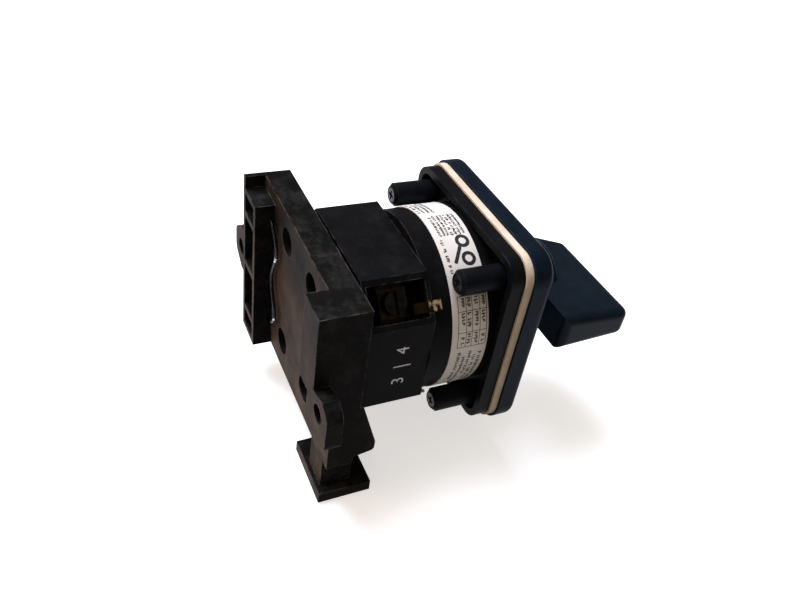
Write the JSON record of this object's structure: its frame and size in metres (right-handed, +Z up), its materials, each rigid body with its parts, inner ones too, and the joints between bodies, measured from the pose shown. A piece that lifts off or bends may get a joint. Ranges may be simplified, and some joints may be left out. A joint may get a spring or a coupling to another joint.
{
  "type": "rotary cam switch",
  "caption": "Rotary cam switch with a square front plate, pointer lever, round latch housing, contact block and a base with screw ears and a rail channel.",
  "frame": {"origin": "on the switch axis, in the rear mounting plane, midway between the two screw ears", "axes": "+Y along the switch axis to the rear, away from the handle; +Z up along the rail channel; -X to the side with the foot and the near pad, which the lever points to at rest"},
  "size_m": [0.0694, 0.0831, 0.0603],
  "materials": {
    "housing_plastic": "moulded, fine texture",
    "handle_plastic": "moulded, satin",
    "gasket_foam": "matt",
    "seal_rubber": "matt",
    "label_film": "printed film",
    "steel": "zinc plated",
    "contact_brass": "plain",
    "white_nylon": "moulded"
  },
  "bodies": {
    "switch": {"base": "housing_plastic", "contact_block": "housing_plastic", "contact_spring_far": "steel", "contact_spring_near": "steel", "detent_carrier_bottom": "white_nylon", "detent_carrier_top": "white_nylon", "detent_roller_bottom": "steel", "detent_roller_top": "steel", "detent_spring_bottom": "steel", "detent_spring_top": "steel", "end_cover": "housing_plastic", "fixed_contact_1": "contact_brass", "fixed_contact_2": "contact_brass", "fixed_contact_3": "contact_brass", "fixed_contact_4": "contact_brass", "foot": "housing_plastic", "frame_screw_1": "steel", "frame_screw_2": "steel", "frame_screw_3": "steel", "frame_screw_4": "steel", "front_plate": "housing_plastic", "gasket": "gasket_foam", "label_sleeve": "label_film", "latch_housing": "housing_plastic", "latch_screw_1": "steel", "latch_screw_2": "steel", "rail_spring": "steel", "rear_frame": "housing_plastic", "stem_seal": "seal_rubber", "terminal_clamp_1": "steel", "terminal_clamp_2": "steel", "terminal_clamp_3": "steel", "terminal_clamp_4": "steel", "terminal_screw_1": "steel", "terminal_screw_2": "steel", "terminal_screw_3": "steel", "terminal_screw_4": "steel", "tie_bolt_1": "steel", "tie_bolt_2": "steel", "tie_bolt_3": "steel", "tie_bolt_4": "steel"},
    "rotor": {"handle": "handle_plastic", "handle_screw": "steel", "shaft": "steel", "star_wheel": "white_nylon", "cam": "white_nylon"},
    "near_plunger": {"plunger_near": "white_nylon", "bridge_near": "contact_brass"},
    "far_plunger": {"plunger_far": "white_nylon", "bridge_far": "contact_brass"}
  },
  "joints": [
    {"name": "handle_turn", "type": "hinge", "parent": "switch", "child": "rotor", "pos_m": [0, 0, 0], "axis": [0, 1, 0], "range_deg": [0, 90]},
    {"name": "near_contact", "type": "slide", "parent": "switch", "child": "near_plunger", "axis": [1, 0, 0], "range_m": [0, 0.002], "deforming": ["contact_spring_near"]},
    {"name": "far_contact", "type": "slide", "parent": "switch", "child": "far_plunger", "axis": [-1, 0, 0], "range_m": [0, 0.002], "deforming": ["contact_spring_far"]}
  ],
  "couplings": [
    {"joint": "near_contact", "follows": "handle_turn", "m_per_rad": 0.001273},
    {"joint": "far_contact", "follows": "handle_turn", "m_per_rad": 0.001273}
  ]
}
